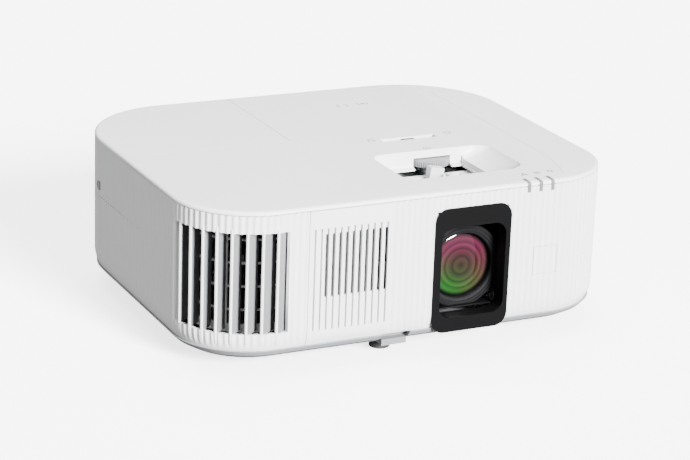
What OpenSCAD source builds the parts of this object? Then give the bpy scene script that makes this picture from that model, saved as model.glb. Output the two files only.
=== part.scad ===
// Home projector: a wide, low case with a lens right of centre, standing on three feet.
// +Z is up and the lens looks along -Y. The origin is on the surface that it stands on,
// under the middle of the case.

/* [Case] */
// Width of the case
case_w = 333; // [300:1:400]
// Depth of the projector from the bezel's face to the rear wall
case_d = 275; // [250:1:330]
// Height of the whole projector on its feet
overall_h = 120; // [112:1:145]
// Height of the case above the surface it stands on
foot_h = 10; // [9:0.5:14]
// Thickness of the moulded case walls
wall = 2.5; // [2:0.1:3]
// Radius of the two front corners seen from above
front_r = 57; // [50:1:60]
// Radius of the two rear corners seen from above
rear_r = 75; // [65:1:78]
// Height of the curved skirt at the bottom of the case
skirt_h = 8; // [7:0.5:10]
// Thickness of the top cover's edge
cover_t = 3; // [2.5:0.1:4]

/* [Front] */
// Distance that the lens bezel stands proud of the front wall
bezel_proud = 1; // [0.6:0.1:1.5]
// Width of the lens bezel
bezel_w = 60.8; // [56:0.2:66]
// Width of the bezel's window
window_w = 51.6; // [50:0.2:54]
// Height of the bezel's window
window_h = 67.7; // [64:0.1:70]
// Number of intake slots
slot_count = 10; // [6:1:12]
// Distance from one intake slot to the next
slot_pitch = 5.07; // [4.8:0.01:5.3]
// Width of an intake slot
slot_w = 2.3; // [1.8:0.1:2.8]
// Number of exhaust blades
blade_count = 8; // [6:1:8]
// Distance along the wall from one exhaust blade to the next
blade_pitch = 10.75; // [10:0.05:11]
// Thickness of an exhaust blade
blade_t = 2; // [1.6:0.1:2.6]
// Angle of the blades to the lens axis
blade_angle = 50; // [40:1:55]

/* [Lens] */
// Distance of the lens axis right of the middle
lens_x = 41.5; // [38:0.5:46]
// Height of the lens axis
lens_z = 57; // [54:0.5:60]
// Radius of the lens barrel
barrel_r = 26; // [25:0.1:27]
// Wall of the lens barrel
barrel_wall = 2.5; // [2:0.1:3]
// Radius of the front cell
cell_r = 31.5; // [30:0.1:33]
// Radius of the front glass
glass_r = 24.5; // [23:0.1:25]
// Lens movement each way from the middle
shift_travel = 4; // [3:0.5:5]
// Radius of the lens shift dial
dial_r = 15.5; // [14:0.1:16]

/* [Feet] */
// Radius of the front foot's post
post_r = 5; // [4:0.1:6]
// Radius of the rear feet's screws
foot_screw_r = 4; // [3:0.1:5]
// Distance of each rear foot from the middle
rear_foot_x = 112; // [100:1:114]

/* [Mounts] */
// Distance across the ceiling mount holes
mount_x = 152; // [140:1:160]
// Distance along the ceiling mount holes
mount_y = 185; // [170:1:190]
// Radius of the ceiling mount holes, for M4
mount_r = 2; // [1.5:0.1:3]

/* [Fits] */
// Gap between neighbouring case panels
seam = 0.4; // [0.3:0.1:0.6]
// Gap round parts that move
gap = 0.4; // [0.3:0.1:0.6]
// Radial clearance of shafts and rings
run = 0.05; // [0.02:0.01:0.1]

/* [Hidden] */
$fn = 48;

// Places that the whole case shares
bezel_y = -case_d / 2;
front_y = bezel_y + bezel_proud;
rear_y = case_d / 2;
middle_y = (front_y + rear_y) / 2;
half_w = case_w / 2;
half_d = (rear_y - front_y) / 2;
floor_z = foot_h + wall;
skirt_z = foot_h + skirt_h;
cover_z = overall_h - cover_t;
lip_inset = 1.5;
floor_inset = 12;
inner_w = half_w - wall;
inner_front = front_y + wall;
inner_rear = rear_y - wall;
white = [0.93, 0.93, 0.94];
grey = [0.62, 0.63, 0.65];
dark = [0.12, 0.12, 0.13];
steel = [0.72, 0.73, 0.75];
board_green = [0.1, 0.35, 0.2];
glass = [0.65, 0.75, 0.8];
board_t = 1.6;

// Seams between the case panels
front_seam_x = -86.9;
left_seam_y = -20;
right_seam_y = -60;
rear_seam_y = rear_y - rear_r;
lamp_seam_x = -35;
lamp_seam_y = 14;
lamp_seam_z = 75;

// Exhaust opening round the front left corner
exhaust_x = -101.5;
exhaust_y = front_y + front_r - 7.5;
exhaust_low = foot_h + 21;
exhaust_top = cover_z - 13;
blade_depth = 11.5;
guard_depth = 13;
guard_t = 1.6;
guard_bars = 4;

// Window for the lens
bezel_low = 14.3;
bezel_top = 107.3;
bezel_x = lens_x - 0.9;
bezel_r = 10;
window_low = 25.2;
window_r = 9;
plug_inset = 2;
plug_depth = 3;
funnel_t = 1.5;
funnel_depth = 11.5;

// Intake slots, receiver and indicator light pipes
slot_x = -73.4;
slot_low = 52.5;
slot_top = 98.7;
receiver_x = 91.6;
receiver_w = 19.2;
receiver_low = 49.5;
receiver_h = 20.5;
pipe_x = 84.6;
pipe_pitch = 9.6;
pipe_w = 2.8;
pipe_reach = 9.5;

// Control recess in the top cover, with the levers' opening and the dial's notch
recess_x0 = 4;
recess_x1 = 102;
recess_y0 = front_y + 33.5;
recess_y1 = front_y + 95.5;
recess_r = 11;
recess_z = cover_z - 9.5;
recess_t = 1.5;
ramp_x = 82;
hatch_x0 = lens_x - 21.5;
hatch_x1 = lens_x + 39.5;
hatch_y0 = recess_y0 + 5;
hatch_y1 = recess_y1 - 4;
dial_x = lens_x + 14;
dial_y = recess_y1 + 5;
dial_z = recess_z + 0.5;
dial_t = 5.5;
notch_half = 15.2;

// Keystone slider
key_x0 = 30.5;
key_x1 = 75;
key_y = 128 + front_y;
key_w = 6.8;
key_rest = (key_x0 + key_x1) / 2;
key_plate_z = 100;

// Lens, from front to back
cell_y = front_y + 15;
cell_len = 34;
cell_lip = 9;
focus_y = front_y + 60;
focus_len = 10;
zoom_y = front_y + 71;
zoom_len = 13;
ring_t = 4;
barrel_back = front_y + 104;
barrel_front = cell_y + cell_lip + 1;
zoom_lever_angle = 8.6;
focus_tab_angle = 16.3;
lever_reach = 56;
tab_reach = 54;
carriage_y = front_y + 88;
carriage_t = 8;
carriage_low = lens_z - 28;
carriage_top = lens_z + 36;
lug_low = lens_z + 28;
stop_gap = shift_travel + gap;
rod_r = 3;
rod_x = 30;
frame_top = 102;
frame_plate = 2.5;
screw_r = 3;
engine_x0 = -66;
engine_x1 = 70;
engine_y0 = 20;
engine_y1 = 85;
prism_half = 13;
prism_y = -3;

// Feet
front_foot_x = -17;
front_foot_y = front_y + 26.5;
post_top = 62;
post_guide = 45;
pad_r = 7.5;
pad_t = 5;
lever_x0 = -26;
lever_x1 = -6.5;
lever_pin_y = front_y + 15;
lever_pin_z = foot_h + 5.5;
rear_foot_y = rear_y - 42;
foot_disc_r = 12;
foot_disc_t = 5;
rear_pad_t = 4.5;
boss_top = 30;

// Rear wall
socket_z = 85.2;
hdmi_x = [-8, 14];
usb_x = [32, 44];
inlet_x = 72;
inlet_z = 40;
button_x = [58, 70, 82];
button_z = 92;
button_r = 3.6;
mount_boss_r = 5;
post_places = [[-146, -34], [120, front_y + 19], [130, rear_y - 37], [-24, rear_y - 17]];

// Filter opening in the right side
filter_y0 = -50;
filter_y1 = 20;
filter_low = 34;
filter_top = 98;

// Light engine, lamp and main board
engine_low = 30;
engine_top = 76;
lamp_x0 = -146;
lamp_x1 = -86;
lamp_y0 = 20;
lamp_y1 = 80;
lamp_low = 20;
lamp_top = 84;
lamp_axis_y = (lamp_y0 + lamp_y1) / 2;
lamp_axis_z = lens_z - 4;
lamp_screw_y = 67;
lamp_screw_z = lamp_seam_z + 8;
board_z = socket_z - 0.4 - board_t;

// Fans
fan_w = 70;
fan_t = 20;
fan_x = -83;
fan_y = front_y + 40.5;
fan_z = 63;
intake_w = 60;
intake_t = 18;
intake_x = inner_w - 30;
intake_y = -15;
intake_z = 62;

// The case seen from above, drawn in by the given inset
module plan(inset = 0) {
    w = half_w - inset;
    d = half_d - inset;
    fr = front_r - inset;
    rr = rear_r - inset;
    translate([0, middle_y]) {
        translate([-(w - fr), -d]) square([2 * (w - fr), d]);
        translate([-w, -(d - fr)]) square([2 * w, 2 * d - fr - rr]);
        translate([-(w - rr), 0]) square([2 * (w - rr), d]);
        for (side = [-1, 1]) {
            translate([side * (w - fr), -(d - fr)]) circle(fr, $fn = 96);
            translate([side * (w - rr), d - rr]) circle(rr, $fn = 96);
        }
    }
}

// A slice of the case's full outline
module slab(inset, z, t) {
    translate([0, 0, z]) linear_extrude(t) plan(inset);
}

// A wall that follows the outline
module band(inset, t, z0, z1) {
    translate([0, 0, z0]) linear_extrude(z1 - z0) difference() {
        plan(inset);
        plan(inset + t);
    }
}

// A box between two corners
module block(low, high) {
    translate(low) cube(high - low);
}

// A rectangle with round corners, from one corner to the other
module rounded(low, high, r) {
    translate([low.x + r, low.y]) square([high.x - low.x - 2 * r, high.y - low.y]);
    translate([low.x, low.y + r]) square([high.x - low.x, high.y - low.y - 2 * r]);
    for (x = [low.x + r, high.x - r], y = [low.y + r, high.y - r]) translate([x, y]) circle(r);
}

// A disc or shaft along Y, from one place to the next
module along_y(x, z, y0, y1, r) {
    translate([x, y0, z]) rotate([-90, 0, 0]) cylinder(r = r, h = y1 - y0);
}

// A ring along Y on the lens axis
module lens_ring(y0, y1, r_out, r_in) {
    difference() {
        along_y(lens_x, lens_z, y0, y1, r_out);
        along_y(lens_x, lens_z, y0 - 1, y1 + 1, r_in);
    }
}

// An upright rounded plate facing the front
module front_plate(x0, x1, z0, z1, r, y0, y1) {
    translate([0, y1, 0]) rotate([90, 0, 0]) linear_extrude(y1 - y0)
        rounded([x0, z0], [x1, z1], r);
}

// A point along the outline of the front left corner; negative lengths are on the flat front
function corner_point(s) = s < 0
    ? [-(half_w - front_r) - s, front_y]
    : let (a = s / front_r * 180 / PI)
        [-(half_w - front_r) - front_r * sin(a), front_y + front_r - front_r * cos(a)];

// The wall of the case between the skirt and the top cover
module case_wall(low, high) {
    intersection() {
        band(0, wall, skirt_z, cover_z - seam);
        block(low, high);
    }
}

module bezel_outline(inset, y0, y1) {
    front_plate(bezel_x - bezel_w / 2 + inset, bezel_x + bezel_w / 2 - inset,
        bezel_low + inset, bezel_top - inset, bezel_r - inset / 2, y0, y1);
}

module window_outline(inset, y0, y1) {
    front_plate(lens_x - window_w / 2 + inset, lens_x + window_w / 2 - inset,
        window_low + inset, window_low + window_h - inset, window_r - inset, y0, y1);
}

module base_tray() {
    color(white) {
        difference() {
            union() {
                difference() {
                    hull() {
                        slab(lip_inset, skirt_z - 0.2, 0.2);
                        slab(lip_inset + 3.5, foot_h + skirt_h / 2, 0.2);
                        slab(floor_inset, foot_h, 0.2);
                    }
                    hull() {
                        slab(lip_inset + wall, skirt_z, 0.2);
                        slab(lip_inset + 3.5 + wall, foot_h + skirt_h / 2 + 0.5, 0.2);
                        slab(floor_inset + wall, floor_z, 0.2);
                    }
                }
                for (x = [-mount_x, mount_x] / 2, y = [-mount_y, mount_y] / 2)
                    translate([x, y, foot_h]) cylinder(r = mount_boss_r, h = 14);
                for (side = [-1, 1]) translate([side * rear_foot_x, rear_foot_y, foot_h])
                    cylinder(r = foot_screw_r + 4, h = boss_top - foot_h);
                translate([front_foot_x, front_foot_y, foot_h])
                    cylinder(r = post_r + 3.5, h = post_guide - foot_h);
                for (p = post_places) translate([p.x, p.y, foot_h]) cylinder(r = 5, h = 12);
                translate([-half_w + 8, 62, floor_z - 1]) cube([8, 10, lamp_seam_z + 14 - floor_z]);
            }
            for (x = [-mount_x, mount_x] / 2, y = [-mount_y, mount_y] / 2)
                translate([x, y, foot_h - 1]) cylinder(r = mount_r, h = 13);
            for (side = [-1, 1]) translate([side * rear_foot_x, rear_foot_y, foot_h - 1])
                cylinder(r = foot_screw_r + run, h = boss_top);
            translate([front_foot_x, front_foot_y, foot_h - 1])
                cylinder(r = post_r + run, h = post_guide);
            for (p = post_places) translate([p.x, p.y, foot_h - 1]) {
                cylinder(r = 1.5, h = 20);
                cylinder(r = 3.2, h = 4);
            }
            translate([-half_w + 7, lamp_screw_y, lamp_screw_z]) rotate([0, 90, 0])
                cylinder(r = 2 + run, h = 10);
            block([bezel_x - bezel_w / 2 + plug_inset - seam / 2, front_y - 1, bezel_low],
                [bezel_x + bezel_w / 2 - plug_inset + seam / 2, front_y + plug_depth + seam, skirt_z + 1]);
            block([lever_x0 - 1.5, front_y - 1, foot_h - 1],
                [lever_x1 + 1.5, front_foot_y - post_r - 4.5, foot_h + 8.5]);
            block([front_foot_x - 3.5, front_foot_y - post_r - 4.6, foot_h + 4],
                [front_foot_x + 3.5, front_foot_y, foot_h + 10]);
        }
        for (x = [lever_x0 - 1.5, lever_x1 + 1.5 - 1.2]) difference() {
            block([x, lever_pin_y - 3, foot_h + 2], [x + 1.2, lever_pin_y + 5, foot_h + 8.5]);
            translate([x - 1, lever_pin_y, lever_pin_z]) rotate([0, 90, 0])
                cylinder(r = 1.2 + run, h = 4);
        }
    }
}

module front_panel() {
    color(white) difference() {
        case_wall([front_seam_x + seam / 2, front_y - 1, 0],
            [half_w + 1, right_seam_y - seam / 2, overall_h]);
        for (i = [0 : slot_count - 1]) block([slot_x + i * slot_pitch - slot_w / 2, front_y - 1, slot_low],
            [slot_x + i * slot_pitch + slot_w / 2, inner_front + 1, slot_top]);
        bezel_outline(plug_inset - seam / 2, front_y - 1, inner_front + 1);
        block([bezel_x - bezel_w / 2 + plug_inset - seam / 2, front_y - 1, skirt_z - 1],
            [bezel_x + bezel_w / 2 - plug_inset + seam / 2, inner_front + 1, skirt_z + 12]);
        block([receiver_x - seam / 2, front_y - 1, receiver_low - seam / 2],
            [receiver_x + receiver_w + seam / 2, inner_front + 1, receiver_low + receiver_h + seam / 2]);
        for (i = [0 : 2]) block([pipe_x + i * pipe_pitch - pipe_w / 2 - seam / 2, front_y - 1, cover_z - 5],
            [pipe_x + i * pipe_pitch + pipe_w / 2 + seam / 2, inner_front + 1, overall_h]);
    }
}

module exhaust_panel() {
    color(white) {
        difference() {
            case_wall([-half_w - 1, front_y - 1, 0],
                [front_seam_x - seam / 2, left_seam_y - seam / 2, overall_h]);
            block([-half_w - 1, front_y - 1, exhaust_low], [exhaust_x, exhaust_y, exhaust_top]);
        }
        intersection() {
            band(0, blade_depth, exhaust_low - 1, exhaust_top + 1);
            for (i = [0 : blade_count - 1]) let (p = corner_point(1.3 + i * blade_pitch))
                translate([p.x, p.y, 0]) rotate([0, 0, -blade_angle])
                    translate([-blade_t / 2, -4, 0]) cube([blade_t, 24, overall_h]);
        }
    }
}

module exhaust_guard() {
    color(white) intersection() {
        union() {
            for (i = [0 : guard_bars - 1])
                band(guard_depth, guard_t, exhaust_low + 13 + 17 * i, exhaust_low + 14.4 + 17 * i);
            band(guard_depth, guard_t, exhaust_low - 3, exhaust_low + 3);
            band(guard_depth, guard_t, exhaust_top - 2, exhaust_top + 3);
            intersection() {
                band(guard_depth, guard_t, exhaust_low - 3, exhaust_top + 3);
                union() {
                    for (i = [0 : 2]) let (p = corner_point(8 + 30 * i))
                        translate([p.x, p.y, 0]) rotate([0, 0, -26]) translate([-1.5, -4, 0])
                            cube([3, 40, overall_h]);
                    block([exhaust_x - 3, front_y, 0], [exhaust_x + 3, middle_y, overall_h]);
                    block([-half_w, exhaust_y - 2, 0], [0, exhaust_y + 2, overall_h]);
                }
            }
        }
        block([-half_w, front_y, 0], [exhaust_x + 3, exhaust_y + 2, overall_h]);
    }
}

module lamp_zone(grow) {
    block([-half_w - 1, lamp_seam_y - grow, lamp_seam_z - grow],
        [lamp_seam_x + grow, rear_y + 1, overall_h + 1]);
}

module left_panel() {
    color(white) difference() {
        case_wall([-half_w - 1, left_seam_y + seam / 2, 0], [0, rear_seam_y - seam / 2, overall_h]);
        lamp_zone(seam / 2);
    }
}

module right_panel() {
    color(white) difference() {
        case_wall([0, right_seam_y + seam / 2, 0], [half_w + 1, rear_seam_y - seam / 2, overall_h]);
        block([0, filter_y0, filter_low], [half_w + 1, filter_y1, filter_top]);
    }
}

module filter_cover() {
    color(white) difference() {
        block([inner_w, filter_y0 + gap, filter_low + gap], [half_w, filter_y1 - gap, filter_top - gap]);
        for (i = [0 : 9]) block([inner_w - 1, filter_y0 + 6 + i * 6, filter_low + 6],
            [half_w + 1, filter_y0 + 9 + i * 6, filter_top - 6]);
    }
}

module filter_element() {
    color(dark) block([inner_w - 8, filter_y0 + 2, filter_low + 1],
        [inner_w - 1, filter_y1 - 2, filter_top - 1]);
}

module rear_panel() {
    color(white) difference() {
        case_wall([-half_w - 1, rear_seam_y + seam / 2, 0], [half_w + 1, rear_y + 1, overall_h]);
        lamp_zone(seam / 2);
        for (x = hdmi_x) block([x - 8, inner_rear - 1, socket_z - 1], [x + 8, rear_y + 1, socket_z + 7]);
        for (x = usb_x) block([x - 5, inner_rear - 1, socket_z - 1], [x + 5, rear_y + 1, socket_z + 8]);
        block([inlet_x - 14, inner_rear - 1, inlet_z - 10.5], [inlet_x + 14, rear_y + 1, inlet_z + 10.5]);
        for (x = button_x) along_y(x, button_z, inner_rear - 1, rear_y + 1, button_r + gap);
        for (i = [0 : 7]) block([-76 + i * 5, inner_rear - 1, 36], [-73.6 + i * 5, rear_y + 1, 64]);
    }
}

// The solid that the top cover and the lamp cover are cut from
module top_form() {
    hull() {
        slab(0, cover_z, 0.5);
        slab(0.9, overall_h - 1.2, 0.2);
        slab(3.3, overall_h - 0.2, 0.2);
    }
}

module recess_outline(grow) {
    rounded([recess_x0 - grow, recess_y0 - grow], [recess_x1 + grow, recess_y1 + grow], recess_r + grow);
}

module top_cover() {
    color(white) difference() {
        union() {
            difference() {
                top_form();
                translate([0, 0, cover_z - 1]) linear_extrude(cover_t + 2) recess_outline(0);
            }
            difference() {
                translate([0, 0, recess_z - recess_t]) linear_extrude(overall_h - 1 - recess_z + recess_t)
                    recess_outline(recess_t);
                translate([0, 0, recess_z]) linear_extrude(cover_t + 20) recess_outline(0);
            }
            intersection() {
                translate([0, 0, recess_z - 1]) linear_extrude(30) recess_outline(0.5);
                hull() {
                    block([ramp_x, recess_y0 - 1, recess_z - 1], [ramp_x + 1, recess_y1 + 1, recess_z]);
                    block([recess_x1, recess_y0 - 1, recess_z - 1],
                        [recess_x1 + 1, recess_y1 + 1, overall_h - 2]);
                }
            }
            for (p = post_places) translate([p.x, p.y, foot_h + 12])
                cylinder(r = 4, h = cover_z - foot_h - 11);
            difference() {
                band(wall + seam, 1.5, cover_z - 4, cover_z + 1);
                block([bezel_x - bezel_w / 2 - 3, front_y - 1, 0],
                    [pipe_x + 2 * pipe_pitch + 5, inner_front + 9, overall_h]);
            }
        }
        lamp_zone(seam / 2);
        for (p = post_places) translate([p.x, p.y, foot_h]) cylinder(r = 1.5, h = 26);
        block([hatch_x0, hatch_y0, recess_z - 5], [hatch_x1, hatch_y1, recess_z + 0.01]);
        block([dial_x - notch_half, recess_y1 - 5, recess_z - 5],
            [dial_x + notch_half, recess_y1 + 3, recess_z + 6.5]);
        block([key_x0, key_y - key_w / 2, cover_z - 1], [key_x1, key_y + key_w / 2, overall_h + 1]);
        for (i = [0 : 2]) block([pipe_x + i * pipe_pitch - pipe_w / 2 - 0.1, front_y - 1, cover_z - 5],
            [pipe_x + i * pipe_pitch + pipe_w / 2 + 0.1, front_y + pipe_reach + 0.1, overall_h + 1]);
    }
}

module lamp_cover() {
    color(white) difference() {
        intersection() {
            union() {
                top_form();
                band(0, wall, lamp_seam_z, cover_z + 0.5);
            }
            lamp_zone(-seam / 2);
        }
        translate([-half_w - 1, lamp_screw_y, lamp_screw_z]) rotate([0, 90, 0])
            cylinder(r = 2 + run, h = 10);
        translate([-half_w - 1, lamp_screw_y, lamp_screw_z]) rotate([0, 90, 0]) cylinder(r = 4, h = 2.2);
    }
}

module lamp_cover_screw() {
    color(steel) difference() {
        translate([-half_w + 0.15, lamp_screw_y, lamp_screw_z]) rotate([0, 90, 0]) union() {
            cylinder(r = 2, h = 14);
            cylinder(r = 3.6, h = 1);
        }
        block([-half_w, lamp_screw_y - 0.4, lamp_screw_z - 3],
            [-half_w + 0.7, lamp_screw_y + 0.4, lamp_screw_z + 3]);
    }
}

module lens_bezel() {
    color(dark) difference() {
        union() {
            bezel_outline(0, bezel_y, front_y);
            bezel_outline(plug_inset, front_y - 0.1, front_y + plug_depth);
            window_outline(-funnel_t, front_y, front_y + funnel_depth);
        }
        window_outline(0, bezel_y - 1, front_y + funnel_depth + 1);
    }
}

module receiver_window() {
    color(white) intersection() {
        band(0, 2, receiver_low, receiver_low + receiver_h);
        block([receiver_x, front_y - 1, 0], [receiver_x + receiver_w, front_y + 30, overall_h]);
    }
}

module receiver_board() {
    color(board_green) {
        block([receiver_x - 4, front_y + 7, receiver_low - 8],
            [receiver_x + receiver_w + 2, front_y + 7 + board_t, cover_z - 10]);
        block([receiver_x + 4, front_y + 4, receiver_low + 5],
            [receiver_x + 12, front_y + 7, receiver_low + 14]);
        for (i = [0 : 2]) block([pipe_x + i * pipe_pitch + 4, front_y + 5, cover_z - 14],
            [pipe_x + i * pipe_pitch + 6, front_y + 7, cover_z - 11]);
    }
}

module light_pipes() {
    color(grey) {
        for (i = [0 : 2]) intersection() {
            union() {
                top_form();
                block([0, front_y, cover_z - 5 + seam], [half_w, front_y + pipe_reach, cover_z + 1]);
            }
            block([pipe_x + i * pipe_pitch - pipe_w / 2, front_y - 1, cover_z - 5 + seam],
                [pipe_x + i * pipe_pitch + pipe_w / 2, front_y + pipe_reach, overall_h]);
        }
        block([pipe_x - pipe_w, inner_front + seam, cover_z - 8],
            [pipe_x + 2 * pipe_pitch + pipe_w, inner_front + 4, cover_z - 4]);
    }
}

module keystone_knob() {
    color(dark) {
        hull() {
            block([key_rest - 5, key_y - 1, cover_z - 0.5], [key_rest + 5, key_y + 2.6, overall_h - 1]);
            block([key_rest - 0.6, key_y - 3, cover_z - 0.5], [key_rest + 0.6, key_y, overall_h - 1]);
        }
        block([key_rest - 2, key_y - 1, key_plate_z + 4.5], [key_rest + 2, key_y + 1, cover_z]);
    }
}

module keystone_board() {
    color(board_green) {
        block([key_x0 - 10, key_y - 7, key_plate_z], [key_x1 + 10, key_y + 9, key_plate_z + board_t]);
        difference() {
            block([key_x0 - 4, key_y - 4, key_plate_z + board_t - 0.1],
                [key_x1 + 4, key_y + 4, key_plate_z + 10]);
            block([key_x0, key_y - 1.5, key_plate_z + 4], [key_x1, key_y + 1.5, key_plate_z + 11]);
        }
    }
}

module shift_dial() {
    color(grey) translate([dial_x, dial_y, 0]) {
        translate([0, 0, dial_z]) cylinder(r = dial_r, h = dial_t);
        translate([0, 0, frame_top + 0.1]) cylinder(r = 6, h = dial_z - frame_top);
        translate([0, 0, lug_low]) cylinder(r = screw_r, h = dial_z - lug_low);
    }
}

module shift_frame() {
    color(steel) difference() {
        union() {
            block([lens_x - rod_x - 6, carriage_y - 6, floor_z],
                [lens_x + rod_x + 6, carriage_y + carriage_t + 6, floor_z + 3]);
            block([lens_x - rod_x - 6, carriage_y - 4, frame_top - frame_plate],
                [lens_x + rod_x + 6, dial_y + 8, frame_top]);
            for (side = [-1, 1]) translate([lens_x + side * rod_x, carriage_y + carriage_t / 2, floor_z])
                cylinder(r = rod_r, h = frame_top - floor_z - 0.5);
            for (side = [-1, 1]) translate([lens_x + side * rod_x, carriage_y + carriage_t / 2, 0]) {
                translate([0, 0, floor_z]) cylinder(r = rod_r + 1.5, h = carriage_low - stop_gap - floor_z);
                translate([0, 0, carriage_top + stop_gap])
                    cylinder(r = rod_r + 1.5, h = frame_top - carriage_top - stop_gap - 1);
            }
            for (side = [-1, 1])
                block([lens_x + side * (rod_x + 5) - 1, carriage_y + carriage_t + 1, floor_z],
                    [lens_x + side * (rod_x + 5) + 1, carriage_y + carriage_t + 6, frame_top - 0.5]);
        }
        translate([dial_x, dial_y, frame_top - 10]) cylinder(r = screw_r + run, h = 12);
    }
}

module lens_carriage() {
    color(dark) difference() {
        union() {
            block([lens_x - rod_x - 5, carriage_y, carriage_low],
                [lens_x + rod_x + 5, carriage_y + carriage_t, carriage_top]);
            block([dial_x - 6, carriage_y + carriage_t - 1, lug_low],
                [dial_x + 6, dial_y + 6, carriage_top]);
        }
        along_y(lens_x, lens_z, carriage_y - 1, carriage_y + carriage_t + 1, barrel_r);
        for (side = [-1, 1]) translate([lens_x + side * rod_x, carriage_y + carriage_t / 2, 0])
            cylinder(r = rod_r + run, h = overall_h);
        translate([dial_x, dial_y, lens_z + 20]) cylinder(r = screw_r + run, h = 25);
    }
}

module lens_barrel() {
    color(dark) lens_ring(barrel_front, barrel_back, barrel_r, barrel_r - barrel_wall);
}

module rear_lens() {
    color(glass) along_y(lens_x, lens_z, barrel_back - 14, barrel_back - 6, barrel_r - barrel_wall);
}

module zoom_group() {
    color(glass) along_y(lens_x, lens_z, zoom_y - 12, zoom_y, barrel_r - barrel_wall - run);
}

module zoom_ring() {
    color(grey) {
        lens_ring(zoom_y, zoom_y + zoom_len, barrel_r + ring_t, barrel_r + run);
        translate([lens_x, 0, lens_z]) rotate([0, zoom_lever_angle, 0])
            block([-5.5, zoom_y + 3, barrel_r + ring_t - 1], [5.5, zoom_y + 9.5, lever_reach]);
    }
}

module focus_ring() {
    color(grey) {
        lens_ring(focus_y, focus_y + focus_len, barrel_r + ring_t, barrel_r + run);
        translate([lens_x, 0, lens_z]) rotate([0, focus_tab_angle, 0])
            block([-2.5, focus_y + 4, barrel_r + ring_t - 1], [2.5, focus_y + 9, tab_reach]);
    }
}

module front_cell() {
    color(dark) difference() {
        union() {
            lens_ring(cell_y, cell_y + cell_len, cell_r, barrel_r + run);
            along_y(lens_x, lens_z, cell_y, cell_y + cell_lip - 2, cell_r - 1);
        }
        along_y(lens_x, lens_z, cell_y - 1, cell_y + cell_lip - 1, glass_r);
        along_y(lens_x, lens_z, cell_y - 1, cell_y + 1.5, glass_r + 3);
    }
}

module front_glass() {
    color([0.35, 0.15, 0.3]) along_y(lens_x, lens_z, cell_y + 1.5, cell_y + cell_lip - 2, glass_r);
}

module ring_deck() {
    color(white) difference() {
        block([hatch_x0 - 5, hatch_y0 - 3, frame_top], [hatch_x1 + 5, hatch_y1 - 4, frame_top + 1.5]);
        block([hatch_x0 - 2, zoom_y + 1, frame_top - 1], [hatch_x1 - 8, zoom_y + 11.5, frame_top + 3]);
        block([hatch_x0 - 2, focus_y + 2, frame_top - 1], [hatch_x1 - 6, focus_y + 10.7, frame_top + 3]);
    }
}

module prism_block() {
    color(glass) {
        block([lens_x - prism_half, prism_y - prism_half, lens_z - prism_half],
            [lens_x + prism_half, prism_y + prism_half, lens_z + prism_half]);
        block([lens_x - prism_half - 6, prism_y - prism_half, floor_z],
            [lens_x + prism_half + 6, prism_y + prism_half + 6, lens_z - prism_half]);
    }
}

module lcd_panels() {
    color(dark) {
        for (side = [-1, 1])
            translate([lens_x + side * (prism_half + 3) - 0.75, prism_y - 11, lens_z - prism_half])
                cube([1.5, 22, 22]);
        translate([lens_x - 11, prism_y + prism_half + 3, lens_z - prism_half]) cube([22, 1.5, 22]);
    }
}

module engine_housing() {
    color(dark) difference() {
        union() {
            block([engine_x0, engine_y0, engine_low], [engine_x1, engine_y1, engine_top]);
            for (x = [engine_x0 + 8, engine_x1 - 8], y = [engine_y0 + 8, engine_y1 - 8])
                translate([x, y, floor_z]) cylinder(r = 5, h = engine_low - floor_z + 1);
        }
        block([engine_x0 + 2, engine_y0 + 2, engine_low + 2],
            [engine_x1 - 2, engine_y1 - 2, engine_top + 1]);
        block([lens_x - 12, engine_y0 - 1, lens_z - 12], [lens_x + 12, engine_y0 + 3, lens_z + 12]);
        translate([engine_x0 - 1, lamp_axis_y, lamp_axis_z]) rotate([0, 90, 0]) cylinder(r = 14, h = 4);
    }
}

module colour_mirrors() {
    color(glass) for (x = [-34, 4, lens_x]) translate([x, lamp_axis_y, engine_low + 2])
        rotate([0, 0, 45]) translate([-0.8, -17, 0]) cube([1.6, 34, 36]);
}

module integrator_lenses() {
    color(glass) translate([engine_x0 - 16, lamp_axis_y, lamp_axis_z]) rotate([0, 90, 0]) {
        difference() {
            cylinder(r = 16, h = 16);
            translate([0, 0, -1]) cylinder(r = 14, h = 18);
        }
        for (z = [2, 10]) translate([0, 0, z]) cylinder(r = 14, h = 2);
    }
}

module lamp_housing() {
    color(grey) difference() {
        union() {
            block([lamp_x0, lamp_y0, lamp_low], [lamp_x1, lamp_y1, lamp_top]);
            block([lamp_x0 + 10, lamp_y0 + 5, floor_z], [lamp_x1 - 10, lamp_y1 - 5, lamp_low + 1]);
        }
        block([lamp_x0 + 2.5, lamp_y0 + 2.5, lamp_low + 2.5],
            [lamp_x1 - 2.5, lamp_y1 - 2.5, lamp_top - 2.5]);
        translate([lamp_x1 - 4, lamp_axis_y, lamp_axis_z]) rotate([0, 90, 0]) cylinder(r = 24, h = 6);
    }
}

module lamp_reflector() {
    color([0.85, 0.85, 0.8]) translate([lamp_x1 - 5, lamp_axis_y, lamp_axis_z]) rotate([0, -90, 0]) {
        difference() {
            cylinder(r1 = 26, r2 = 12, h = 26);
            translate([0, 0, -0.1]) cylinder(r1 = 24.4, r2 = 10, h = 24.2);
        }
        cylinder(r = 3, h = 40);
        translate([0, 0, 25]) cylinder(r = 9, h = 14);
    }
}

module circuit_block(x0, x1, y0, y1, z, parts) {
    color(board_green) block([x0, y0, z], [x1, y1, z + board_t]);
    color(steel) for (p = parts) translate([p[0], p[1], z + board_t - 0.1]) cube([p[2], p[3], p[4]]);
}

module lamp_ballast() {
    circuit_block(-75, -10, -90, -25, 27,
        [[-70, -84, 22, 24, 18], [-42, -84, 12, 12, 14], [-24, -60, 10, 26, 20], [-66, -50, 30, 18, 12]]);
    color(steel) for (x = [-70, -15], y = [-85, -30]) translate([x, y, floor_z]) cylinder(r = 3, h = 14.6);
}

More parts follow.
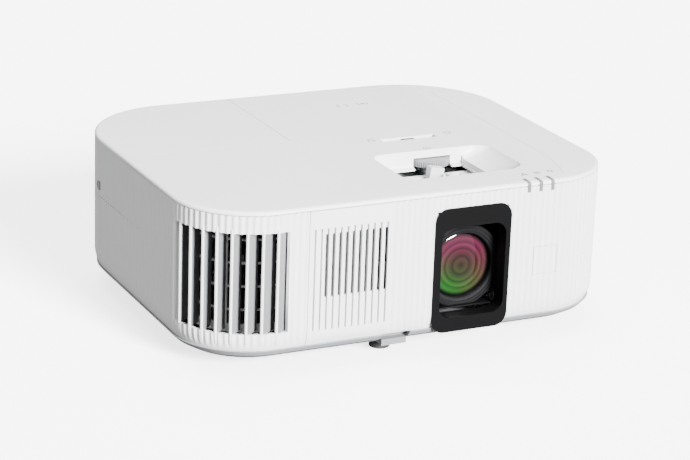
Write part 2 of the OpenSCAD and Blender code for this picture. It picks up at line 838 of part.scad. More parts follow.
module power_supply() {
    circuit_block(85, 150, 22, 84, 20,
        [[90, 28, 24, 24, 30], [120, 28, 16, 30, 34], [90, 60, 20, 18, 22], [120, 64, 26, 12, 26]]);
    color(steel) for (x = [90, 145], y = [27, 79]) translate([x, y, floor_z]) cylinder(r = 3, h = 7.6);
}

module ac_inlet() {
    color(dark) difference() {
        union() {
            block([inlet_x - 13.5, inner_rear - 16, inlet_z - 10], [inlet_x + 13.5, rear_y, inlet_z + 10]);
            block([inlet_x - 20, inner_rear - 2, inlet_z - 11.5],
                [inlet_x + 20, inner_rear, inlet_z + 11.5]);
        }
        block([inlet_x - 12, rear_y - 15, inlet_z - 8], [inlet_x + 12, rear_y + 1, inlet_z + 8]);
    }
    color(steel) for (p = [[-7, -1], [7, -1], [0, 3]])
        block([inlet_x + p[0] - 1, rear_y - 15.5, inlet_z + p[1] - 2],
            [inlet_x + p[0] + 1, rear_y - 6, inlet_z + p[1] + 2]);
}

module main_board() {
    circuit_block(-18, 95, 30, inner_rear - 8.5, board_z,
        [[30, 60, 30, 30, 6], [0, 50, 16, 16, 2], [68, 60, 14, 20, 2], [66, 90, 12, 12, 8],
            [0, 90, 18, 10, 3]]);
    color(steel) for (x = [62, 91], y = [91, 108]) translate([x, y, floor_z])
        cylinder(r = 3, h = board_z - floor_z + 0.1);
    color(steel) translate([-10, 94, floor_z]) cylinder(r = 3, h = board_z - floor_z + 0.1);
}

// A metal shell with an open mouth at the rear wall
module socket(x, w, h, depth) {
    color(steel) difference() {
        block([x - w / 2, rear_y - depth, socket_z - 0.4], [x + w / 2, rear_y - 1, socket_z - 0.4 + h]);
        block([x - w / 2 + 0.6, rear_y - depth + 3, socket_z + 0.2],
            [x + w / 2 - 0.6, rear_y, socket_z - 1 + h]);
    }
}

module hdmi_sockets() {
    for (x = hdmi_x) socket(x, 15.2, 6.2, 14);
}

module usb_sockets() {
    for (x = usb_x) socket(x, 8.4, 7.4, 14);
}

module wireless_module() {
    color(board_green) block([-64, 100 + front_y, 56], [-34, 128 + front_y, 56 + board_t]);
    color(steel) block([-60, 104 + front_y, 56 + board_t - 0.1], [-42, 122 + front_y, 60]);
    color(steel) for (x = [-62, -37]) translate([x, 126 + front_y, floor_z])
        cylinder(r = 2, h = 56.1 - floor_z);
}

module control_board() {
    color(board_green) block([50, inner_rear - 8, button_z - 12], [90, inner_rear - 6.4, button_z + 14]);
    color(dark) for (x = button_x)
        block([x - 3, inner_rear - 6.5, button_z - 3], [x + 3, inner_rear - 3.6, button_z + 3]);
}

module rear_button(x) {
    color(grey) {
        along_y(x, button_z, inner_rear - 1.2, rear_y, button_r);
        along_y(x, button_z, inner_rear - 2.2, inner_rear - 1.1, button_r + 1.5);
    }
}

module power_button() {
    rear_button(button_x[2]);
}

module menu_button() {
    rear_button(button_x[1]);
}

module enter_button() {
    rear_button(button_x[0]);
}

// A square fan frame lying on XY, with its motor mount on four spokes
module fan_frame(w, t) {
    color(dark) {
        difference() {
            translate([-w / 2, -w / 2, 0]) cube([w, w, t]);
            translate([0, 0, -1]) cylinder(r = w / 2 - 2.5, h = t + 2);
        }
        difference() {
            union() {
                cylinder(r = w / 5, h = 2);
                for (a = [0 : 90 : 270]) rotate([0, 0, a]) translate([w / 5 - 1, -1.5, 0])
                    cube([w * 0.3, 3, 2]);
            }
            translate([0, 0, -1]) cylinder(r = 1.5 + run, h = 4);
        }
    }
}

// The rotor that turns in a fan frame
module fan_rotor(w, t) {
    color(grey) {
        translate([0, 0, 2 + gap]) cylinder(r = w / 5, h = t - 3 - gap);
        translate([0, 0, 0.4]) cylinder(r = 1.5, h = 4);
        for (a = [0 : 360 / 7 : 359]) rotate([0, 0, a]) translate([w / 5 - 2, 0, t / 2 + 0.6])
            rotate([38, 0, 0]) translate([0, -w / 9, -0.7]) cube([w * 0.3 - 2.5, w / 4.5, 1.4]);
    }
}

module exhaust_place() {
    translate([fan_x, fan_y, fan_z]) rotate([90, 0, 0]) children();
}

module intake_place() {
    translate([intake_x, intake_y, intake_z]) rotate([0, 90, 0]) children();
}

module exhaust_fan_frame() {
    exhaust_place() fan_frame(fan_w, fan_t);
    color(dark) block([fan_x - 30, fan_y - fan_t + 2, floor_z],
        [fan_x - 16, fan_y - 2, fan_z - fan_w / 2 + 1]);
}

module exhaust_fan_rotor() {
    exhaust_place() fan_rotor(fan_w, fan_t);
}

module intake_fan_frame() {
    intake_place() fan_frame(intake_w, intake_t);
    color(dark) block([intake_x + 2, intake_y - 20, floor_z],
        [intake_x + intake_t - 2, intake_y + 20, intake_z - intake_w / 2 + 1]);
}

module intake_fan_rotor() {
    intake_place() fan_rotor(intake_w, intake_t);
}

module speaker() {
    color(dark) {
        block([-80, inner_rear - 36, floor_z], [-38, inner_rear - 12.5, 72]);
        along_y(-59, 50, inner_rear - 12.6, inner_rear - 3, 17);
    }
}

module front_foot() {
    color(grey) translate([front_foot_x, front_foot_y, 3]) cylinder(r = post_r, h = post_top - 3);
}

module front_foot_pad() {
    color(dark) translate([front_foot_x, front_foot_y, 0]) difference() {
        cylinder(r = pad_r, h = pad_t);
        translate([0, 0, 3]) cylinder(r = post_r, h = pad_t);
    }
}

module foot_lever() {
    color(grey) {
        translate([lever_x0 - 1.4, lever_pin_y, lever_pin_z]) rotate([0, 90, 0])
            cylinder(r = 1.2, h = lever_x1 - lever_x0 + 2.8);
        translate([lever_x0, lever_pin_y, lever_pin_z]) rotate([0, 90, 0])
            cylinder(r = 2.2, h = lever_x1 - lever_x0);
        block([lever_x0, lever_pin_y - 10, foot_h - 1.5], [lever_x1, lever_pin_y - 1, foot_h + 3.2]);
        block([lever_x0, lever_pin_y - 4, foot_h - 1.5], [lever_x1, lever_pin_y + 1.5, lever_pin_z]);
        block([front_foot_x - 2.5, lever_pin_y, lever_pin_z],
            [front_foot_x + 2.5, front_foot_y - post_r - 0.9, lever_pin_z + 2]);
    }
}

module rear_foot(side) {
    color(dark) translate([side * rear_foot_x, rear_foot_y, rear_pad_t]) {
        cylinder(r = foot_disc_r, h = foot_disc_t);
        cylinder(r = foot_screw_r, h = boss_top - rear_pad_t);
        translate([0, 0, -2.5]) cylinder(r = 2, h = 3);
    }
}

module rear_foot_pad(side) {
    color([0.2, 0.2, 0.2]) translate([side * rear_foot_x, rear_foot_y, 0]) difference() {
        cylinder(r = foot_disc_r - 1, h = rear_pad_t - 0.1);
        translate([0, 0, 1.9]) cylinder(r = 2 + run, h = rear_pad_t);
    }
}

module rear_foot_left() {
    rear_foot(-1);
}

module rear_foot_pad_left() {
    rear_foot_pad(-1);
}

module rear_foot_right() {
    rear_foot(1);
}

module rear_foot_pad_right() {
    rear_foot_pad(1);
}

module case_screws() {
    color(steel) for (p = post_places) translate([p.x, p.y, foot_h + 0.4]) difference() {
        union() {
            cylinder(r = 3, h = 2.6);
            cylinder(r = 1.5, h = 22);
        }
        translate([0, 0, -1]) cylinder(r = 1.4, h = 2.4, $fn = 6);
    }
}

base_tray();
front_panel();
exhaust_panel();
exhaust_guard();
left_panel();
right_panel();
rear_panel();
top_cover();
lamp_cover();
lamp_cover_screw();
filter_cover();
filter_element();
lens_bezel();
receiver_window();
receiver_board();
light_pipes();
keystone_knob();
keystone_board();
shift_dial();
shift_frame();
lens_carriage();
lens_barrel();
rear_lens();
zoom_group();
zoom_ring();
focus_ring();
front_cell();
front_glass();
ring_deck();
prism_block();
lcd_panels();
engine_housing();
colour_mirrors();
integrator_lenses();
lamp_housing();
lamp_reflector();
lamp_ballast();
power_supply();
ac_inlet();
main_board();
hdmi_sockets();
usb_sockets();
wireless_module();
control_board();
power_button();
menu_button();
enter_button();
exhaust_fan_frame();
exhaust_fan_rotor();
intake_fan_frame();
intake_fan_rotor();
speaker();
front_foot();
front_foot_pad();
foot_lever();
rear_foot_left();
rear_foot_pad_left();
rear_foot_right();
rear_foot_pad_right();
case_screws();
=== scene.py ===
import math

import bmesh
import bpy
from mathutils import Matrix, Vector


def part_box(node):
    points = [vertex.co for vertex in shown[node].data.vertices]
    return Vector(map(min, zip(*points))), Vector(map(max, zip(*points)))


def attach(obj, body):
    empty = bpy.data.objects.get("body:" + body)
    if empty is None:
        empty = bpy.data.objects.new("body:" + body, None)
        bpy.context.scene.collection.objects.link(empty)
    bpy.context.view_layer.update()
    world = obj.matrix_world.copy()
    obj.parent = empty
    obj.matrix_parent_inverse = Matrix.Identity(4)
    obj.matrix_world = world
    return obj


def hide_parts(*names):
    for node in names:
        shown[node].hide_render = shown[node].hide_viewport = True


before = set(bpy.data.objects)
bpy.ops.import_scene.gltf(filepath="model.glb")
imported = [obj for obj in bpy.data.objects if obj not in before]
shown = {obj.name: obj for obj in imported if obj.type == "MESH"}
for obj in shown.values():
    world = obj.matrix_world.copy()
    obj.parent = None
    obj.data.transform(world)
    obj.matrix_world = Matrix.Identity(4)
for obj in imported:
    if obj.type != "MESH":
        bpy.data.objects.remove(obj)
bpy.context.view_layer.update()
MM = 0.001

# ---- The room ----
# The projector stands on a pale floor in an open white room. A strong soft lamp stands in
# front of it, one hangs above and behind, a weak one stands on the left, and the room fills in.
VIEW_YAW, VIEW_PITCH, VIEW_ROLL = (math.radians(a) for a in (-26.09, 18.67, 2.077))
VIEW_FROM = Vector((-0.7393, -1.5229, 0.6224))
VIEW_LENS = 123.51

back = Vector((math.sin(VIEW_YAW) * math.cos(VIEW_PITCH),
               -math.cos(VIEW_YAW) * math.cos(VIEW_PITCH), math.sin(VIEW_PITCH)))
level = (-back).cross(Vector((0, 0, 1))).normalized()
upright = level.cross(-back)
right = math.cos(VIEW_ROLL) * level + math.sin(VIEW_ROLL) * upright
up = upright * math.cos(VIEW_ROLL) - level * math.sin(VIEW_ROLL)
camera = bpy.data.objects.new("view", bpy.data.cameras.new("view"))
camera.data.lens = VIEW_LENS
camera.data.sensor_width = 36
camera.matrix_world = Matrix.Translation(VIEW_FROM) @ Matrix((right, up, back)).transposed().to_4x4()
bpy.context.collection.objects.link(camera)
bpy.context.scene.camera = camera


def soft_sun(name, toward, strength, spread):
    lamp = bpy.data.lights.new(name, "SUN")
    lamp.energy = strength
    lamp.angle = math.radians(spread)
    lamp_object = bpy.data.objects.new(name, lamp)
    lamp_object.rotation_euler = (-Vector(toward)).to_track_quat("-Z", "Y").to_euler()
    bpy.context.collection.objects.link(lamp_object)


soft_sun("front_light", (0.2, -0.95, 0.4), 29, 18)
soft_sun("top_light", (0.0, 0.45, 1), 5.0, 50)
soft_sun("left_light", (-1, -0.35, 0.35), 1.7, 50)
world = bpy.data.worlds.new("white_room")
world.use_nodes = True
world.node_tree.nodes["Background"].inputs["Color"].default_value = (1, 1, 1, 1)
world.node_tree.nodes["Background"].inputs["Strength"].default_value = 0.42
bpy.context.scene.world = world


# ---- Moulded plastics ----
# The shells are injection-moulded ABS with a fine spark-eroded grain. The colour drifts a
# little over the moulding and the grain breaks up the gloss, so no part is one flat tone.
def moulded(name, colour, roughness, grain=1400, depth=0.05, drift=0.03, metallic=0.0, gleam=0.5):
    material = bpy.data.materials.new(name)
    material.use_nodes = True
    nodes, links = material.node_tree.nodes, material.node_tree.links
    shader = nodes["Principled BSDF"]
    shader.inputs["Metallic"].default_value = metallic
    shader.inputs["Specular IOR Level"].default_value = gleam
    place = nodes.new("ShaderNodeTexCoord")
    fine = nodes.new("ShaderNodeTexNoise")
    fine.inputs["Scale"].default_value = grain
    fine.inputs["Detail"].default_value = 3
    broad = nodes.new("ShaderNodeTexNoise")
    broad.inputs["Scale"].default_value = 14
    broad.inputs["Detail"].default_value = 2
    tone = nodes.new("ShaderNodeMapRange")
    tone.inputs["To Min"].default_value = 1 - drift
    tone.inputs["To Max"].default_value = 1 + drift
    tint = nodes.new("ShaderNodeMixRGB")
    tint.blend_type = "MULTIPLY"
    tint.inputs["Fac"].default_value = 1
    tint.inputs["Color1"].default_value = (*colour, 1)
    gloss = nodes.new("ShaderNodeMapRange")
    gloss.inputs["To Min"].default_value = roughness - 0.06
    gloss.inputs["To Max"].default_value = roughness + 0.06
    bump = nodes.new("ShaderNodeBump")
    bump.inputs["Strength"].default_value = depth
    bump.inputs["Distance"].default_value = 0.2 * MM
    for texture in (fine, broad):
        links.new(place.outputs["Object"], texture.inputs["Vector"])
    links.new(broad.outputs["Fac"], tone.inputs["Value"])
    links.new(tone.outputs["Result"], tint.inputs["Color2"])
    links.new(tint.outputs["Color"], shader.inputs["Base Color"])
    links.new(fine.outputs["Fac"], gloss.inputs["Value"])
    links.new(gloss.outputs["Result"], shader.inputs["Roughness"])
    links.new(fine.outputs["Fac"], bump.inputs["Height"])
    links.new(bump.outputs["Normal"], shader.inputs["Normal"])
    return material


white_abs = moulded("white_moulded_abs", (0.56, 0.565, 0.575), 0.42)

# ---- Floor ----
# The floor is a wide matt board that glows a little, as a light table does, so the room
# stays white and the shadow under the case stays soft.
floor_mesh = bmesh.new()
bmesh.ops.create_grid(floor_mesh, x_segments=1, y_segments=1, size=6)
floor_data = bpy.data.meshes.new("floor")
floor_mesh.to_mesh(floor_data)
floor_mesh.free()
floor = bpy.data.objects.new("floor", floor_data)
bpy.context.collection.objects.link(floor)
floor_board = moulded("floor_board", (0.9, 0.9, 0.9), 0.9, grain=60, drift=0.002)
glow = floor_board.node_tree.nodes["Principled BSDF"].inputs
glow["Emission Color"].default_value = (1, 1, 1, 1)
glow["Emission Strength"].default_value = 2.6
floor.data.materials.append(floor_board)
floor.visible_diffuse = False
floor.visible_glossy = False

# ---- Case walls ----
# The five side panels are thin moulded sheets that follow one outline: straight sides with
# large round corners. Fine upright flutes run round all of them and fade where the foot of
# the wall curves under. They clip to the base tray and meet at narrow seams.
cover_low, cover_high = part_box("top_cover")
HALF_W = cover_high.x
FRONT_Y, REAR_Y = cover_low.y, cover_high.y
FRONT_R, REAR_R = 57 * MM, 75 * MM
WALL_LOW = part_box("front_panel")[0].z
WALL_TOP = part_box("front_panel")[1].z
FRONT_FLAT = HALF_W - FRONT_R
FRONT_ARC = FRONT_R * math.pi / 2
SIDE_FLAT = REAR_Y - FRONT_Y - FRONT_R - REAR_R
REAR_ARC = REAR_R * math.pi / 2
REAR_FLAT = 2 * (HALF_W - REAR_R)
ROUND_CASE = 2 * (FRONT_FLAT + FRONT_ARC + SIDE_FLAT + REAR_ARC) + REAR_FLAT
FLUTES = round(ROUND_CASE / (4.87 * MM))
FLUTE_DEPTH = 0.95 * MM
SEAM = 0.4 * MM


def track():
    """The stretches of the outline from the middle of the front, turning right first."""
    low, high = FRONT_Y + FRONT_R, REAR_Y - REAR_R
    narrow = HALF_W - REAR_R
    yield FRONT_FLAT, (0, FRONT_Y), 0, -90
    yield FRONT_ARC, (FRONT_FLAT, low), FRONT_R, -90
    yield SIDE_FLAT, (HALF_W, low), 0, 0
    yield REAR_ARC, (narrow, high), REAR_R, 0
    yield REAR_FLAT, (narrow, REAR_Y), 0, 90
    yield REAR_ARC, (-narrow, high), REAR_R, 90
    yield SIDE_FLAT, (-HALF_W, high), 0, 180
    yield FRONT_ARC, (-FRONT_FLAT, low), FRONT_R, 180
    yield FRONT_FLAT, (-FRONT_FLAT, FRONT_Y), 0, 270


def on_outline(s, inset=0.0):
    """The point a distance s round the outline, drawn in by inset."""
    s = s % ROUND_CASE
    for length, (x, y), radius, turn in track():
        if s <= length + 1e-9:
            angle = math.radians(turn) + (s / radius if radius else 0)
            out = Vector((math.cos(angle), math.sin(angle)))
            if radius:
                return Vector((x, y)) + out * (radius - inset)
            along = Vector((-out.y, out.x))
            return Vector((x, y)) + along * s - out * inset
        s -= length
    return Vector((0, FRONT_Y + inset))


def s_left(y):
    """How far round the outline a place on the left side is."""
    return -(FRONT_FLAT + FRONT_ARC + y - FRONT_Y - FRONT_R)


def tuck(z):
    """How far the foot of the wall curves under the case at a height."""
    rise = max(0, 30 * MM - z) / (12 * MM)
    return 3.4 * MM * rise ** 2.4


def flute(s, z):
    fade = min(1, max(0, (z - 19.5 * MM) / (5 * MM)))
    return FLUTE_DEPTH * fade * (0.5 - 0.5 * math.cos(2 * math.pi * FLUTES * s / ROUND_CASE))


def loft(bm, rings, loop=True):
    """Extrudes the first ring of points to each of the next ones, and returns the rings."""
    verts = [bm.verts.new(p) for p in rings[0]]
    pairs = zip(verts, verts[1:] + verts[:1]) if loop else zip(verts, verts[1:])
    edges = [bm.edges.new(pair) for pair in pairs]
    made = [verts]
    for ring in rings[1:]:
        fresh = bmesh.ops.extrude_edge_only(bm, edges=edges)["geom"]
        new_verts = {g for g in fresh if isinstance(g, bmesh.types.BMVert)}
        edges = [g for g in fresh if isinstance(g, bmesh.types.BMEdge)
                 and g.verts[0] in new_verts and g.verts[1] in new_verts]
        verts = [next(e.other_vert(v) for e in v.link_edges if e.other_vert(v) in new_verts)
                 for v in verts]
        for vert, point in zip(verts, ring):
            vert.co = point
        made.append(verts)
    return made


def capped(bm, rings):
    """A closed solid through the rings."""
    made = loft(bm, rings)
    bm.faces.new(made[0][::-1])
    bm.faces.new(made[-1])
    bmesh.ops.recalc_face_normals(bm, faces=bm.faces)
    return bm


def finish_piece(name, bm, material, body, replaced=(), sharp=32):
    """Puts a bmesh in the scene as one smooth-shaded piece that rides on a body."""
    mesh = bpy.data.meshes.new(name)
    bm.edges.index_update()
    rim = [edge.index for edge in bm.edges if edge.is_boundary]
    bm.to_mesh(mesh)
    bm.free()
    mesh.polygons.foreach_set("use_smooth", [True] * len(mesh.polygons))
    mesh.set_sharp_from_angle(angle=math.radians(sharp))
    for index in rim:
        mesh.edges[index].use_edge_sharp = True
    piece = bpy.data.objects.new(name, mesh)
    bpy.context.collection.objects.link(piece)
    mesh.materials.append(material)
    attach(piece, body)
    if replaced:
        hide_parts(*replaced)
    return piece


def wall_sheet(s0, s1, holes=(), relief=None, columns=(), rows=(), low=WALL_LOW, top=WALL_TOP):
    """A fluted sheet between two places round the case, open where the holes are."""
    step = ROUND_CASE / FLUTES / 6
    count = math.ceil((s1 - s0) / step)
    places = [s0 + (s1 - s0) * i / count for i in range(count + 1)]
    heights = [z * MM for z in (18, 18.5, 19.3, 20.5, 22, 23.5, 25, 27, 30, 60, 90, 112)]
    for a, b, c, d in holes:
        places += [a, b]
        heights += [c, d]
    places = sorted({round(p, 6) for p in places + list(columns) if s0 <= p <= s1})
    heights = sorted({round(h, 6) for h in heights + [low, top, *rows] if low <= h <= top})
    rings = []
    for z in heights:
        ring = []
        for s in places:
            inset = tuck(z) + (relief(s, z) if relief else flute(s, z))
            p = on_outline(s, inset)
            ring.append((p.x, p.y, z))
        rings.append(ring)
    bm = bmesh.new()
    made = loft(bm, rings, loop=False)
    gone = []
    for i in range(len(heights) - 1):
        z = (heights[i] + heights[i + 1]) / 2
        for j in range(len(places) - 1):
            s = (places[j] + places[j + 1]) / 2
            if any(a < s < b and c < z < d for a, b, c, d in holes):
                corner = set(made[i][j].link_faces) & set(made[i + 1][j + 1].link_faces)
                gone += list(corner)
    bmesh.ops.delete(bm, geom=gone, context="FACES")
    bmesh.ops.recalc_face_normals(bm, faces=bm.faces)
    bm.normal_update()
    middle = Vector((0, 0, 60 * MM))
    outward = sum(f.normal.dot(f.calc_center_median() - middle) * f.calc_area() for f in bm.faces)
    if outward < 0:
        bmesh.ops.reverse_faces(bm, faces=bm.faces)
    return bm


def thicken(piece, thickness):
    solid = piece.modifiers.new("wall", "SOLIDIFY")
    solid.thickness = thickness
    solid.offset = -1
    return piece


WALL_T = 2.2 * MM

# Front panel: the slots, the lens window, the receiver window and three pipe notches.
SLOT_PITCH, SLOT_W, SLOT_FIRST = 5.07 * MM, 2.4 * MM, -73.4 * MM
GROOVES = [-83.1 * MM, -78.2 * MM] + [SLOT_FIRST + i * SLOT_PITCH for i in range(10)]
PIPES = [84.6 * MM + i * 9.6 * MM for i in range(3)]
seam_x = -86.9 * MM
bezel_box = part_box("lens_bezel")
receiver_low, receiver_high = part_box("receiver_window")


def front_relief(s, z):
    """Flutes, or flat-bottomed grooves where the intake slots are."""
    if GROOVES[0] - 3 * MM < s < GROOVES[-1] + 2.6 * MM:
        in_groove = any(abs(s - g) < SLOT_W / 2 + 1e-6 for g in GROOVES)
        return 1.9 * MM if in_groove and 28.9 * MM < z < 103.3 * MM else 0.0
    return flute(s, z)


slot_edges = [groove + side * (SLOT_W / 2 + lap)
              for groove in GROOVES for side in (-1, 1) for lap in (0, 0.05 * MM)]
front_holes = [(g - SLOT_W / 2, g + SLOT_W / 2, 52.5 * MM, 98.7 * MM) for g in GROOVES[2:]]
front_holes += [(bezel_box[0].x + 2 * MM, bezel_box[1].x - 2 * MM, 0, bezel_box[1].z - 2 * MM)]
front_holes += [(receiver_low.x - 0.25 * MM, receiver_high.x + 0.25 * MM,
                 receiver_low.z - 0.25 * MM, receiver_high.z + 0.25 * MM)]
front_holes += [(p - 1.6 * MM, p + 1.6 * MM, 116 * MM, 121 * MM) for p in PIPES]
s_right_seam = FRONT_FLAT + FRONT_ARC - 60 * MM - FRONT_Y - FRONT_R
front_sheet = wall_sheet(seam_x + SEAM / 2, s_right_seam - SEAM / 2, front_holes, front_relief,
                         slot_edges, (28.85 * MM, 28.95 * MM, 103.25 * MM, 103.35 * MM))
thicken(finish_piece("front_wall", front_sheet, white_abs, "root",
                     ["front_panel"]), WALL_T)

# The receiver window is a thin plate of the same plastic, fluted like the wall round it.
window_sheet = wall_sheet(receiver_low.x, receiver_high.x, low=receiver_low.z, top=receiver_high.z)
thicken(finish_piece("receiver_plate", window_sheet, white_abs, "root",
                     ["receiver_window"]), 1.8 * MM)


# ---- Exhaust corner ----
# The front left corner is one moulding: a wall with a tall opening round the corner, and
# upright blades across it that all lean the same way, so that hot air leaves to one side
# and nothing inside shows. The blades' front edges run on down the foot of the wall as ribs.
BLADES, BLADE_PITCH, BLADE_FIRST, BLADE_T = 8, 10.75 * MM, 1.3 * MM, 2.3 * MM
BLADE_LEAN = math.radians(56)
EXHAUST_LOW, EXHAUST_TOP = 31 * MM, 104 * MM
exhaust_hole = (-FRONT_FLAT - 82 * MM, -FRONT_FLAT + 8 * MM, EXHAUST_LOW, EXHAUST_TOP)
exhaust_sheet = wall_sheet(s_left(-20 * MM) + SEAM / 2, seam_x - SEAM / 2, [exhaust_hole])
thicken(finish_piece("exhaust_wall", exhaust_sheet, white_abs, "root",
                     ["exhaust_panel"]), WALL_T)

blade_mesh = bmesh.new()
lean = Vector((math.sin(BLADE_LEAN), math.cos(BLADE_LEAN)))
side = Vector((lean.y, -lean.x))
for index in range(BLADES):
    s_blade = -FRONT_FLAT - BLADE_FIRST - index * BLADE_PITCH
    inward = (on_outline(s_blade, 1 * MM) - on_outline(s_blade)).normalized()
    reach = 11.3 * MM / lean.dot(inward)
    rings = []
    for z, sink, length in ((20.5, 1.2, 1.2), (21.5, 0.5, 1.6), (23, 0.1, 2), (25, 0, 2.2), (28, 0, 2.2),
                            (30.6, 0, 2.4), (31.0, 0, 1e3), (67, 0, 1e3), (104.0, 0, 1e3),
                            (104.4, 0, 2.4), (106, 0.1, 2.2), (107.5, 0.6, 1.6), (108.5, 1.4, 1.2)):
        nose = on_outline(s_blade, tuck(z * MM) + sink * MM)
        depth = min(reach, length * MM)
        half = BLADE_T / 2
        outline = [nose + lean * depth + side * half * 0.7, nose + lean * depth - side * half * 0.7]
        for angle in (math.radians(a) for a in (90, 55, 25, 0, -25, -55, -90)):
            outline.append(nose + lean * half * (1 - math.cos(angle)) - side * half * math.sin(angle))
        rings.append([(p.x, p.y, z * MM) for p in outline])
    capped(blade_mesh, rings)
blades = finish_piece("exhaust_blades", blade_mesh, white_abs, "root", sharp=40)

# The blades' long faces get a dark grey material as painted shade, for the shade that falls between the
# blades; their white front edges stay the case plastic.
blade_painted_shade = moulded("painted_shade_blade_faces", (0.13, 0.132, 0.137), 0.55, drift=0.05, gleam=0.3)
blades.data.materials.append(blade_painted_shade)
FRONT_EDGE = 2.0 * MM
# Faces further back than the front edge, inside the opening, take the painted shade.
for face in blades.data.polygons:
    x, y, z = face.center
    behind = min((on_outline(-FRONT_FLAT - BLADE_FIRST - k * BLADE_PITCH) - Vector((x, y))).length
                 for k in range(BLADES))
    face.material_index = int(behind > FRONT_EDGE and EXHAUST_LOW < z < EXHAUST_TOP)

# ---- Side and rear panels ----
# The left panel stops at the lamp cover's foot, the right one frames the filter cover, and
# the rear one is cut for the sockets, the mains inlet, the buttons and the speaker.
lamp_box_low, lamp_box_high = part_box("lamp_cover")
LAMP_FOOT = lamp_box_low.z
LAMP_FRONT = lamp_box_low.y
LAMP_SIDE = lamp_box_high.x
s_lamp_front = s_left(LAMP_FRONT)
s_lamp_rear = -(ROUND_CASE / 2 + LAMP_SIDE)
s_rear_left = s_left(REAR_Y - REAR_R)
s_rear_right = -s_rear_left


def left_relief(s, z):
    """The flutes, and the short line that carries the lamp cover's foot forward."""
    line = 0.5 * MM if s > s_lamp_front and abs(z - 75 * MM) < 0.31 * MM else 0
    return flute(s, z) + line


left_sheet = wall_sheet(s_rear_left + SEAM / 2, s_left(-20 * MM) - SEAM / 2,
                        [(-2, s_lamp_front - SEAM / 4, LAMP_FOOT - SEAM, 1)], left_relief,
                        rows=[z * MM for z in (74.6, 74.7, 75.3, 75.4)])
thicken(finish_piece("left_wall", left_sheet, white_abs, "root",
                     ["left_panel"]), WALL_T)

filter_low, filter_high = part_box("filter_cover")
s_filter = [FRONT_FLAT + FRONT_ARC + y - FRONT_Y - FRONT_R for y in (filter_low.y, filter_high.y)]
filter_hole = (s_filter[0] - SEAM, s_filter[1] + SEAM, filter_low.z - SEAM, filter_high.z + SEAM)
right_sheet = wall_sheet(s_right_seam + SEAM / 2, s_rear_right - SEAM / 2, [filter_hole])
thicken(finish_piece("right_wall", right_sheet, white_abs, "root",
                     ["right_panel"]), WALL_T)

flute_pitch = ROUND_CASE / FLUTES
first_flute = round(s_filter[0] / flute_pitch) * flute_pitch
filter_slots = [first_flute + (i + 1.25) * flute_pitch for i in range(12)]
filter_sheet = wall_sheet(*s_filter, [(a, a + flute_pitch / 2, 41 * MM, 91 * MM) for a in filter_slots],
                          low=filter_low.z, top=filter_high.z)
thicken(finish_piece("filter_door", filter_sheet, white_abs, "filter_cover",
                     ["filter_cover"]), WALL_T)


def cut(piece, cutter, operation="DIFFERENCE"):
    """Cuts a piece with a bmesh solid, and applies the result to its mesh."""
    mesh = bpy.data.meshes.new("cutter")
    cutter.to_mesh(mesh)
    cutter.free()
    tool = bpy.data.objects.new("cutter", mesh)
    bpy.context.collection.objects.link(tool)
    step = piece.modifiers.new("cut", "BOOLEAN")
    step.operation = operation
    step.solver = "EXACT"
    step.object = tool
    bpy.context.view_layer.update()
    done = bpy.data.meshes.new_from_object(piece.evaluated_get(bpy.context.evaluated_depsgraph_get()))
    piece.modifiers.clear()
    piece.data = done
    done.set_sharp_from_angle(angle=math.radians(32))
    bpy.data.objects.remove(tool)
    return piece


def turned(profile, centre, axis="Z", steps=96):
    """A solid of revolution: profile is radius and distance along the axis, in millimetres."""
    bm = bmesh.new()
    verts = [bm.verts.new((r * MM, 0, h * MM)) for r, h in profile]
    edges = [bm.edges.new(pair) for pair in zip(verts, verts[1:] + verts[:1])]
    bmesh.ops.spin(bm, geom=verts + edges, cent=(0, 0, 0), axis=(0, 0, 1),
                   angle=2 * math.pi, steps=steps, use_merge=True)
    bmesh.ops.remove_doubles(bm, verts=bm.verts, dist=1e-6)
    bmesh.ops.recalc_face_normals(bm, faces=bm.faces)
    turn = {"Z": Matrix.Identity(4), "Y": Matrix.Rotation(-math.pi / 2, 4, "X"),
            "X": Matrix.Rotation(math.pi / 2, 4, "Y")}[axis]
    bmesh.ops.transform(bm, matrix=Matrix.Translation(Vector(centre) * MM) @ turn, verts=bm.verts)
    return bm


s_middle = ROUND_CASE / 2
SPEAKER_SLOTS, SPEAKER_PITCH, SPEAKER_SLOT_W = 8, 5 * MM, 2.4 * MM
s_speaker = s_middle + 73.6 * MM
rear_holes = [(s_speaker + i * SPEAKER_PITCH, s_speaker + i * SPEAKER_PITCH + SPEAKER_SLOT_W,
               36 * MM, 64 * MM) for i in range(SPEAKER_SLOTS)]
FLANGE = {"ac_inlet": (6.2 * MM, 1.2 * MM), "hdmi_sockets": (0, 0), "usb_sockets": (0, 0)}
SOCKET_GAP = 0.4 * MM
for name, (beside, above) in FLANGE.items():
    low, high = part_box(name)
    rear_holes.append((s_middle - high.x + beside - SOCKET_GAP, s_middle - low.x - beside + SOCKET_GAP,
                       low.z + above - SOCKET_GAP, high.z - above + SOCKET_GAP))
lamp_hole = (ROUND_CASE + s_lamp_rear - SEAM / 2, 2, LAMP_FOOT - SEAM, 1)


def rear_relief(s, z):
    """Flutes at the corners, and a plain flat field behind the sockets."""
    return 0.25 * MM if abs(s - s_middle) < 92 * MM else flute(s, z)


